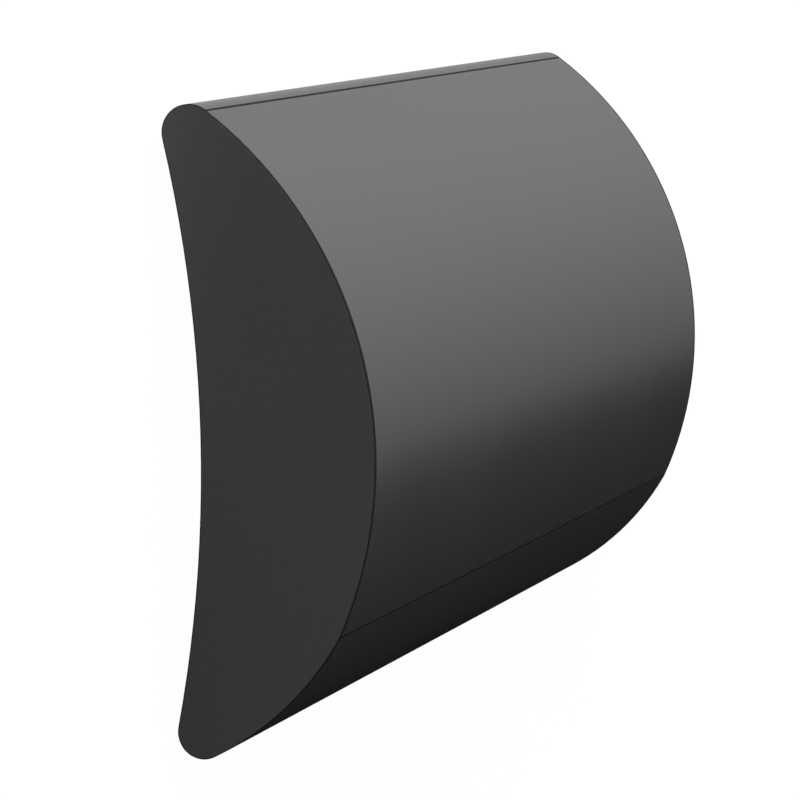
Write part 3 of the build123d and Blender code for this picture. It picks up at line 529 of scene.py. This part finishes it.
def rubber(name, colour, roughness):
    material, tree, shader = new_material(name)
    skin = use_group(tree, SKIN_GROUP, Colour=(*colour, 1), Drift=0.5, Streaks=0.3,
                     Roughness=roughness, Spread=0.1)
    tree.links.new(skin.outputs["Colour"], shader.inputs["Base Color"])
    tree.links.new(skin.outputs["Roughness"], shader.inputs["Roughness"])
    shader.inputs["Specular IOR Level"].default_value = 0.3
    bump_from(tree, skin.outputs["Height"], shader, 0.25, 0.0003)
    return material


CHARCOAL = (0.070, 0.070, 0.069)
CHARCOAL_DULL = (0.048, 0.048, 0.049)
CHARCOAL_WORN = (0.13, 0.13, 0.126)
NYLON_BLACK = (0.016, 0.016, 0.016)
NYLON_WORN = (0.06, 0.06, 0.06)
INNER_GREY = (0.040, 0.040, 0.041)
INNER_WORN = (0.09, 0.09, 0.09)
PANEL_LOOK = {"drift": 0.20, "streaks": 0.12, "spread": 0.04, "wear": 0.10, "bump": 0.03}
PLATE_LOOK = {"drift": 0.12, "streaks": 0.05, "spread": 0.03, "wear": 0.12, "bump": 0.02}
NYLON_LOOK = {"drift": 0.4, "streaks": 0.1, "spread": 0.1, "wear": 0.4, "bump": 0.12}
INNER_LOOK = {"drift": 0.3, "streaks": 0.1, "spread": 0.08, "wear": 0.4, "bump": 0.12}
FINISHES = {
    "hood_skin": plastic("charcoal_skin", CHARCOAL, 0.22, CHARCOAL_WORN, **PANEL_LOOK),
    "hood_edge_panels": plastic("charcoal_mouldings", CHARCOAL, 0.22, CHARCOAL_WORN, **PANEL_LOOK),
    "end_plates": plastic("charcoal_end_plates", CHARCOAL_DULL, 0.42, CHARCOAL_WORN, **PLATE_LOOK),
    "black_rubber": rubber("black_rubber", (0.006, 0.006, 0.006), 0.7),
    "stainless_screws": metal("stainless_screws", (0.56, 0.56, 0.56), 0.28),
    "stainless_pins": metal("stainless_pins", (0.60, 0.60, 0.59), 0.22),
    "insect_mesh": metal("insect_mesh_wire", (0.20, 0.21, 0.21), 0.45),
    "zinc_brackets": metal("zinc_brackets", (0.42, 0.43, 0.44), 0.38, 0.9),
    "sheet_aluminium": metal("sheet_aluminium", (0.62, 0.63, 0.64), 0.34),
    "black_nylon": plastic("black_nylon", NYLON_BLACK, 0.5, NYLON_WORN, **NYLON_LOOK),
    "inner_plastic": plastic("inner_plastic", INNER_GREY, 0.55, INNER_WORN, **INNER_LOOK),
}


def finish_piece(piece, slot):
    piece.data.materials.clear()
    piece.data.materials.append(FINISHES[slot])
    return piece


# ---- hood panels ------------------------------------------------------------------------
def along(node):
    low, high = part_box(node)
    return low.y, high.y


def hinge_notches():
    """Cutters for the two notches that the hinge arms move in, a little wider than the arms."""
    cutters = []
    for side in ("left", "right"):
        low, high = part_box(f"hinge_arm_{side}")
        turned = polar(NOSE, NOTCH_REACH, NOTCH_TURN_DEG)
        corner = (NOSE[0] + NOTCH_DEPTH, NOSE[1])
        wedge = [NOSE, turned, (corner[0], turned[1]), corner]
        cutters.append(extruded(f"notch_{side}", [wedge], low.y - NOTCH_SPARE, high.y + NOTCH_SPARE))
    return cutters


def hood_skin():
    gap = degrees(SEAM_GAP / CROWN_R)
    points = sector_points(CROWN, CROWN_R, CROWN_R - WALL, TAIL_SEAM + gap, NOSE_SEAM - gap, ARC_STEP_DEG)
    piece = extruded("hood_skin_panel", [points], *along("hood_skin"))
    return round_edges(piece, PANEL_EDGE)


def nose_strip():
    points = sector_points(NOSE, NOSE_TIP_R, NOSE_TIP_R - WALL, NOSE_SEAM, TRAY_NOSE + 180, TIP_STEP_DEG)
    piece = extruded("nose_strip_moulding", [points], *along("nose_strip"))
    return round_edges(cut_with(piece, hinge_notches()), PANEL_EDGE)


def tail_panel():
    outer = joined(arc_points(TAIL, TAIL_TIP_R, TRAY_TAIL - 180, TAIL_TURN, TIP_STEP_DEG),
                   arc_points(TAIL_ARC, TAIL_ARC_R, TAIL_TURN, TAIL_TOP, ARC_STEP_DEG))
    inner = joined(arc_points(TAIL_ARC, TAIL_ARC_R - WALL, TAIL_TOP, TAIL_TURN, ARC_STEP_DEG),
                   arc_points(TAIL, TAIL_TIP_R - WALL, TAIL_TURN, TRAY_TAIL - 180, TIP_STEP_DEG))
    piece = extruded("tail_panel_moulding", [outer + inner], *along("tail_panel"))
    return round_edges(piece, PANEL_EDGE)


def end_cheek(side):
    """End plate: rim outside the panels and a plug inside them."""
    y_lo, y_hi = along(f"end_cheek_{side}")
    outer = y_hi if y_hi > 0 else y_lo
    inner = y_lo if y_hi > 0 else y_hi
    rim_in = outer - (CHEEK_RIM_T if outer > 0 else -CHEEK_RIM_T)
    rim = extruded(f"end_cheek_{side}_plate", [crescent(EDGING_T)], min(rim_in, outer), max(rim_in, outer))
    plug = extruded("plug", [crescent(WALL + CHEEK_FIT)], min(rim_in, inner), max(rim_in, inner))
    bm = bmesh.new()
    bm.from_mesh(rim.data)
    bm.from_mesh(plug.data)
    bm.to_mesh(rim.data)
    bm.free()
    bpy.data.objects.remove(plug)
    return round_edges(rim, PANEL_EDGE)


def make_panels():
    panels = {"hood_skin": hood_skin(), "nose_strip": nose_strip(), "tail_panel": tail_panel()}
    for side in ("left", "right"):
        panels[f"end_cheek_{side}"] = end_cheek(side)
    for node, piece in panels.items():
        finish_piece(piece, SLOT_OF[node])
        place(piece, BODY_OF[node], SLOT_OF[node], node)
    return set(panels)


# ---- repeated pieces, made by Geometry Nodes --------------------------------------------
def geometry_tree(name, inputs):
    tree = bpy.data.node_groups.new(name, "GeometryNodeTree")
    tree.is_modifier = True
    tree.interface.new_socket("Geometry", in_out="INPUT", socket_type="NodeSocketGeometry")
    for label, kind, value in inputs:
        socket = tree.interface.new_socket(label, in_out="INPUT", socket_type=kind)
        if value is not None:
            socket.default_value = value
    tree.interface.new_socket("Geometry", in_out="OUTPUT", socket_type="NodeSocketGeometry")
    return tree


def run_tree(piece, tree, values):
    """Puts a Geometry Nodes tree on a piece, sets its inputs and keeps the result as a plain mesh."""
    modifier = piece.modifiers.new(tree.name, "NODES")
    modifier.node_group = tree
    for item in tree.interface.items_tree:
        if item.item_type == "SOCKET" and item.in_out == "INPUT" and item.name in values:
            modifier[item.identifier] = values[item.name]
    return applied(piece)


def wire_mesh_tree():
    """Two layers of round wires, crossing at right angles, over a rectangle."""
    tree = geometry_tree("woven_wire", [
        ("Width", "NodeSocketFloat", 0.14), ("Length", "NodeSocketFloat", 0.49),
        ("Pitch", "NodeSocketFloat", 0.003),
        ("Wire", "NodeSocketFloat", 0.00022), ("Height", "NodeSocketFloat", 0.057),
        ("Finish", "NodeSocketMaterial", None)])
    start, end = group_ends(tree)
    join = add(tree, "GeometryNodeJoinGeometry")
    for across, span in (("Width", "Length"), ("Length", "Width")):
        count = add(tree, "ShaderNodeMath", operation="DIVIDE")
        tree.links.new(start.outputs[across], count.inputs[0])
        tree.links.new(start.outputs["Pitch"], count.inputs[1])
        half = add(tree, "ShaderNodeMath", operation="MULTIPLY")
        half.inputs[1].default_value = 0.5
        tree.links.new(start.outputs[across], half.inputs[0])
        back = add(tree, "ShaderNodeMath", operation="MULTIPLY")
        back.inputs[1].default_value = -0.5
        tree.links.new(start.outputs[across], back.inputs[0])
        places = add(tree, "GeometryNodeMeshLine", mode="END_POINTS")
        first = add(tree, "ShaderNodeCombineXYZ")
        last = add(tree, "ShaderNodeCombineXYZ")
        axis = "X" if across == "Width" else "Y"
        tree.links.new(back.outputs[0], first.inputs[axis])
        tree.links.new(half.outputs[0], last.inputs[axis])
        lift = add(tree, "ShaderNodeMath", operation="MULTIPLY_ADD")
        lift.inputs[1].default_value = 0.8 if across == "Width" else -0.8
        tree.links.new(start.outputs["Wire"], lift.inputs[0])
        tree.links.new(start.outputs["Height"], lift.inputs[2])
        for corner in (first, last):
            tree.links.new(lift.outputs[0], corner.inputs["Z"])
        tree.links.new(count.outputs[0], places.inputs["Count"])
        tree.links.new(first.outputs[0], places.inputs["Start Location"])
        tree.links.new(last.outputs[0], places.inputs["Offset"])
        wire = add(tree, "GeometryNodeMeshCylinder", fill_type="NGON")
        wire.inputs["Vertices"].default_value = 6
        tree.links.new(start.outputs["Wire"], wire.inputs["Radius"])
        tree.links.new(start.outputs[span], wire.inputs["Depth"])
        turn = add(tree, "GeometryNodeTransform")
        turn.inputs["Rotation"].default_value = (pi / 2, 0, 0) if across == "Width" else (0, pi / 2, 0)
        tree.links.new(wire.outputs["Mesh"], turn.inputs["Geometry"])
        copies = add(tree, "GeometryNodeInstanceOnPoints")
        tree.links.new(places.outputs["Mesh"], copies.inputs["Points"])
        tree.links.new(turn.outputs["Geometry"], copies.inputs["Instance"])
        tree.links.new(copies.outputs["Instances"], join.inputs["Geometry"])
    real = add(tree, "GeometryNodeRealizeInstances")
    paint = add(tree, "GeometryNodeSetMaterial")
    tree.links.new(join.outputs["Geometry"], real.inputs["Geometry"])
    tree.links.new(real.outputs["Geometry"], paint.inputs["Geometry"])
    tree.links.new(start.outputs["Finish"], paint.inputs["Material"])
    tree.links.new(paint.outputs["Geometry"], end.inputs["Geometry"])
    return tree


def insect_mesh():
    low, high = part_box("insect_mesh")
    piece = mesh_object("insect_mesh_weave", bmesh.new())
    run_tree(piece, wire_mesh_tree(), {
        "Width": high.x - low.x - MESH_MARGIN, "Length": high.y - low.y - MESH_MARGIN, "Pitch": MESH_PITCH,
        "Wire": (high.z - low.z) / 4, "Height": (low.z + high.z) / 2, "Finish": FINISHES["insect_mesh"]})
    return place(piece, "base", "insect_mesh", "insect_mesh")


def screw_profile(head_r, head_t, shank_r, length):
    """Half outline of a pan-head screw: radius and height, from the top of the head down."""
    dome = [(head_r * sin(radians(a)), head_t * (0.35 + 0.65 * cos(radians(a)))) for a in range(0, 91, 15)]
    profile = dome + [(head_r, 0.0), (shank_r, 0.0)]
    turns = int(length / THREAD_PITCH)
    for i in range(1, turns):
        depth = -i * length / turns
        radius = shank_r if i % 2 else shank_r * THREAD_ROOT
        profile.append((radius, depth))
    profile += [(shank_r * 0.8, -length * 0.97), (0.0, -length)]
    return profile


def lathe(name, profile, steps=24):
    """Closed turned mesh about Z."""
    bm = bmesh.new()
    rings = []
    for radius, height in profile:
        if radius < WELD:
            rings.append([bm.verts.new((0, 0, height))])
        else:
            turns = [2 * pi * i / steps for i in range(steps)]
            rings.append([bm.verts.new((radius * cos(a), radius * sin(a), height)) for a in turns])
    for upper, lower in zip(rings, rings[1:]):
        for i in range(steps):
            j = (i + 1) % steps
            if len(upper) == 1:
                bm.faces.new((upper[0], lower[i], lower[j]))
            elif len(lower) == 1:
                bm.faces.new((upper[i], lower[0], upper[j]))
            else:
                bm.faces.new((upper[i], lower[i], lower[j], upper[j]))
    bmesh.ops.recalc_face_normals(bm, faces=bm.faces)
    smooth_with_sharp_edges(bm, 40.0)
    return mesh_object(name, bm)


def cross_recess(piece, head_r, head_t):
    """Cross-shaped drive recess in the top of a screw head."""
    cutters = []
    for turn in (0, pi / 2):
        bm = bmesh.new()
        bmesh.ops.create_cube(bm, size=1.0)
        bmesh.ops.scale(bm, vec=(head_r * 1.15, head_r * 0.24, head_t), verts=bm.verts)
        bmesh.ops.rotate(bm, cent=(0, 0, 0), matrix=Matrix.Rotation(turn, 3, "Z"), verts=bm.verts)
        bmesh.ops.translate(bm, vec=(0, 0, head_t), verts=bm.verts)
        cutters.append(mesh_object(f"recess_{len(cutters)}", bm))
    return cut_with(piece, cutters)


def copies_tree():
    """Copies of one part on the points of a mesh, turned by the points' own rotation."""
    tree = geometry_tree("copies_on_points", [
        ("Part", "NodeSocketObject", None), ("Finish", "NodeSocketMaterial", None),
        ("Seed", "NodeSocketInt", 7)])
    start, end = group_ends(tree)
    part = add(tree, "GeometryNodeObjectInfo")
    tree.links.new(start.outputs["Part"], part.inputs["Object"])
    axis = add(tree, "GeometryNodeInputNamedAttribute", data_type="FLOAT_VECTOR")
    axis.inputs["Name"].default_value = "axis"
    align = add(tree, "FunctionNodeAlignRotationToVector", axis="Z")
    tree.links.new(axis.outputs["Attribute"], align.inputs["Vector"])
    spin = add(tree, "FunctionNodeRandomValue", data_type="FLOAT")
    spin.inputs[3].default_value = 2 * pi
    tree.links.new(start.outputs["Seed"], spin.inputs["Seed"])
    copies = add(tree, "GeometryNodeInstanceOnPoints")
    tree.links.new(start.outputs["Geometry"], copies.inputs["Points"])
    tree.links.new(part.outputs["Geometry"], copies.inputs["Instance"])
    tree.links.new(align.outputs["Rotation"], copies.inputs["Rotation"])
    turn = add(tree, "GeometryNodeRotateInstances")
    about = add(tree, "ShaderNodeCombineXYZ")
    tree.links.new([s for s in spin.outputs if s.type == "VALUE"][0], about.inputs["Z"])
    tree.links.new(copies.outputs["Instances"], turn.inputs["Instances"])
    tree.links.new(about.outputs[0], turn.inputs["Rotation"])
    real = add(tree, "GeometryNodeRealizeInstances")
    paint = add(tree, "GeometryNodeSetMaterial")
    tree.links.new(turn.outputs["Instances"], real.inputs["Geometry"])
    tree.links.new(real.outputs["Geometry"], paint.inputs["Geometry"])
    tree.links.new(start.outputs["Finish"], paint.inputs["Material"])
    tree.links.new(paint.outputs["Geometry"], end.inputs["Geometry"])
    return tree


COPIES = copies_tree()


def points_object(name, points, axes):
    data = bpy.data.meshes.new(name)
    data.from_pydata(points, [], [])
    attribute = data.attributes.new("axis", "FLOAT_VECTOR", "POINT")
    for item, axis in zip(attribute.data, axes):
        item.vector = axis
    piece = bpy.data.objects.new(name, data)
    bpy.context.scene.collection.objects.link(piece)
    return piece


def detailed_screws(node, axis, head_r, head_t, shank_r):
    """Replaces a group of plain screws by turned ones with a drive recess. axis points out of the head."""
    axis = Vector(axis)
    index = max(range(3), key=lambda i: abs(axis[i]))
    sign = 1 if axis[index] > 0 else -1
    groups = {}
    for low, high in islands(node):
        span = high - low
        if max(range(3), key=lambda i: span[i]) != index and span[index] < span[(index + 1) % 3] * 0.9:
            continue
        length = round(span[index] - head_t, 4)
        seat = (low + high) / 2
        seat[index] = high[index] - head_t if sign > 0 else low[index] + head_t
        groups.setdefault(length, []).append(seat)
    made = []
    for length, seats in groups.items():
        plain = lathe("screw_part", screw_profile(head_r, head_t, shank_r, length))
        part = cross_recess(plain, head_r, head_t)
        name = f"{node}_set" if len(groups) == 1 else f"{node}_set_{len(made) + 1}"
        piece = points_object(name, seats, [axis] * len(seats))
        run_tree(piece, COPIES, {"Part": part, "Finish": FINISHES["stainless_screws"]})
        bpy.data.objects.remove(part)
        made.append(piece)
    for piece in made:
        place(piece, BODY_OF[node], SLOT_OF[node], node)
    return made


SCREW_SETS = {
    "arm_screws": (0, 0, 1), "keeper_screws": (0, 0, 1), "clip_screws": (0, 0, 1), "tab_screws": (0, 0, 1),
    "hinge_block_screws": (0, 0, -1), "cheek_screws_left": (0, 1, 0), "cheek_screws_right": (0, -1, 0),
}


def make_screws():
    for node, axis in SCREW_SETS.items():
        detailed_screws(node, axis, SCREW_HEAD_R, SCREW_HEAD_T, SCREW_SHANK_R)
    return set(SCREW_SETS)


# ---- every other CAD piece: same shape, joined up, with rounded edges -------------------
def refine_rest(done):
    for node, body in BODY_OF.items():
        if node in done:
            continue
        piece = merged_copy(node, f"{node}_part")
        round_edges(piece, PART_EDGE, 1)
        finish_piece(piece, SLOT_OF[node])
        place(piece, body, SLOT_OF[node], node)


# ---- stage ------------------------------------------------------------------------------
def make_floor():
    """Pale floor, as the camera sees it. What the part mirrors of it is painted mid-grey on the nose side
    and dark on the tail side: painted shade that shows only in the part's reflections.
    """
    bm = bmesh.new()
    bmesh.ops.create_grid(bm, x_segments=1, y_segments=1, size=FLOOR_HALF)
    bmesh.ops.translate(bm, vec=(0, 0, -FLOOR_DROP), verts=bm.verts)
    floor = mesh_object("floor", bm)
    material, tree, shader = new_material("pale_floor")
    shader.inputs["Base Color"].default_value = (0.92, 0.92, 0.92, 1)
    shader.inputs["Roughness"].default_value = 0.9
    glow = add(tree, "ShaderNodeEmission")
    glow.inputs["Strength"].default_value = BACKDROP
    coord = add(tree, "ShaderNodeTexCoord")
    split = add(tree, "ShaderNodeSeparateXYZ")
    tree.links.new(coord.outputs["Object"], split.inputs[0])
    # painted shade for the part's reflections: grey on the nose side, near black on the tail side, a fixed
    # grey past the left end
    across = map_range(tree, split.outputs["X"], -0.20, 0.12, *FLOOR_SHADE)
    beyond = map_range(tree, split.outputs["Y"], -0.50, -0.34)
    past_end = math(tree, "MULTIPLY", math(tree, "SUBTRACT", 1.0, beyond), END_SHADE)
    shade = math(tree, "ADD", math(tree, "MULTIPLY", across, beyond), past_end)
    dim = add(tree, "ShaderNodeBsdfDiffuse")
    grey = add(tree, "ShaderNodeCombineColor")
    for channel in ("Red", "Green", "Blue"):
        tree.links.new(shade, grey.inputs[channel])
    tree.links.new(grey.outputs["Color"], dim.inputs["Color"])
    path = add(tree, "ShaderNodeLightPath")
    seen = add(tree, "ShaderNodeMixShader")
    seen.inputs[0].default_value = 0.95
    tree.links.new(shader.outputs[0], seen.inputs[1])
    tree.links.new(glow.outputs[0], seen.inputs[2])
    chosen = add(tree, "ShaderNodeMixShader")
    tree.links.new(path.outputs["Is Camera Ray"], chosen.inputs[0])
    tree.links.new(dim.outputs[0], chosen.inputs[1])
    tree.links.new(seen.outputs[0], chosen.inputs[2])
    # clear from below and to the lamp there, so that the underside of the part can be seen
    side = add(tree, "ShaderNodeNewGeometry")
    clear = add(tree, "ShaderNodeBsdfTransparent")
    one_sided = add(tree, "ShaderNodeMixShader")
    unseen = math(tree, "MAXIMUM", side.outputs["Backfacing"], path.outputs["Is Shadow Ray"])
    tree.links.new(unseen, one_sided.inputs[0])
    tree.links.new(chosen.outputs[0], one_sided.inputs[1])
    tree.links.new(clear.outputs[0], one_sided.inputs[2])
    tree.links.new(one_sided.outputs[0], tree.nodes["Material Output"].inputs["Surface"])
    floor.data.materials.append(material)


def make_sky():
    """Soft studio dome: bright on the nose side and overhead, dark on the tail side."""
    world = bpy.data.worlds.new("studio_dome")
    bpy.context.scene.world = world
    world.use_nodes = True
    tree = world.node_tree
    back = tree.nodes["Background"]
    coord = add(tree, "ShaderNodeTexCoord")
    split = add(tree, "ShaderNodeSeparateXYZ")
    tree.links.new(coord.outputs["Generated"], split.inputs[0])
    stretch = add(tree, "ShaderNodeMapping")
    stretch.inputs["Scale"].default_value = SKY_CLOUD_STRETCH
    tree.links.new(coord.outputs["Generated"], stretch.inputs["Vector"])
    cloud = add(tree, "ShaderNodeTexNoise")
    cloud.inputs["Scale"].default_value = SKY_CLOUD
    cloud.inputs["Detail"].default_value = 3.0
    tree.links.new(stretch.outputs["Vector"], cloud.inputs["Vector"])
    ragged = math(tree, "MULTIPLY", math(tree, "SUBTRACT", cloud.outputs["Fac"], 0.5), SKY_RAGGED)
    bright = map_range(tree, math(tree, "ADD", split.outputs["X"], ragged), *SKY_EDGE, SKY_BRIGHT, 0.0)
    towards_nose = map_range(tree, split.outputs["X"], *SKY_TO_NOSE, smooth=False)
    upwards = map_range(tree, split.outputs["Z"], *SKY_UPWARDS, smooth=False)
    level = math(tree, "ADD", math(tree, "ADD", towards_nose, upwards), SKY_LEVEL)
    total = math(tree, "ADD", math(tree, "MULTIPLY", bright, level), SKY_FLOOR)
    # the backdrop that the camera sees is as pale as the floor
    seen = add(tree, "ShaderNodeLightPath").outputs["Is Camera Ray"]
    total = math(tree, "MULTIPLY", total, math(tree, "SUBTRACT", 1.0, seen))
    total = math(tree, "ADD", total, math(tree, "MULTIPLY", seen, BACKDROP))
    tree.links.new(total, back.inputs["Strength"])
    back.inputs["Color"].default_value = SKY_TINT


def add_lamp(name, shape, size, watts, where, aim):
    data = bpy.data.lights.new(name, "AREA")
    data.shape = shape
    data.size, data.size_y = size
    data.energy = watts
    lamp = bpy.data.objects.new(name, data)
    lamp.location = where
    lamp.rotation_euler = (Vector(aim) - Vector(where)).to_track_quat("-Z", "Y").to_euler()
    bpy.context.scene.collection.objects.link(lamp)


def make_lights():
    """A large softbox, low on the nose side and past the left end plate, and a lamp under the floor."""
    add_lamp("nose_softbox", "SQUARE", (SOFTBOX_SIZE, SOFTBOX_SIZE), SOFTBOX_WATTS, SOFTBOX_AT, SOFTBOX_AIM)
    add_lamp("under_fill", "RECTANGLE", FILL_SIZE, FILL_WATTS, FILL_AT, (0, 0, 0))


def make_camera():
    """Long lens from past the left end, above the roof, rolled so that the nose is at the top."""
    data = bpy.data.cameras.new("view_camera")
    data.sensor_width = SENSOR_MM
    data.lens = LENS_MM
    data.clip_end = 100.0
    camera = bpy.data.objects.new("view_camera", data)
    bpy.context.scene.collection.objects.link(camera)
    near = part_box("end_seal_left")[0].y
    offset = Vector(CAMERA_FROM_AXIS) * CROWN_R
    right = Vector(CAMERA_RIGHT)
    up = Vector(CAMERA_UP)
    back = right.cross(up)
    turn = Matrix((right, up, back)).transposed().to_4x4()
    camera.matrix_world = Matrix.Translation(Vector((CROWN[0], near, CROWN[1])) + offset) @ turn
    bpy.context.scene.camera = camera


def main():
    make_camera()
    done = make_panels()
    insect_mesh()
    done.add("insect_mesh")
    done |= make_screws()
    refine_rest(done)
    make_floor()
    make_sky()
    make_lights()
    bpy.context.scene.view_settings.view_transform = "Standard"


main()
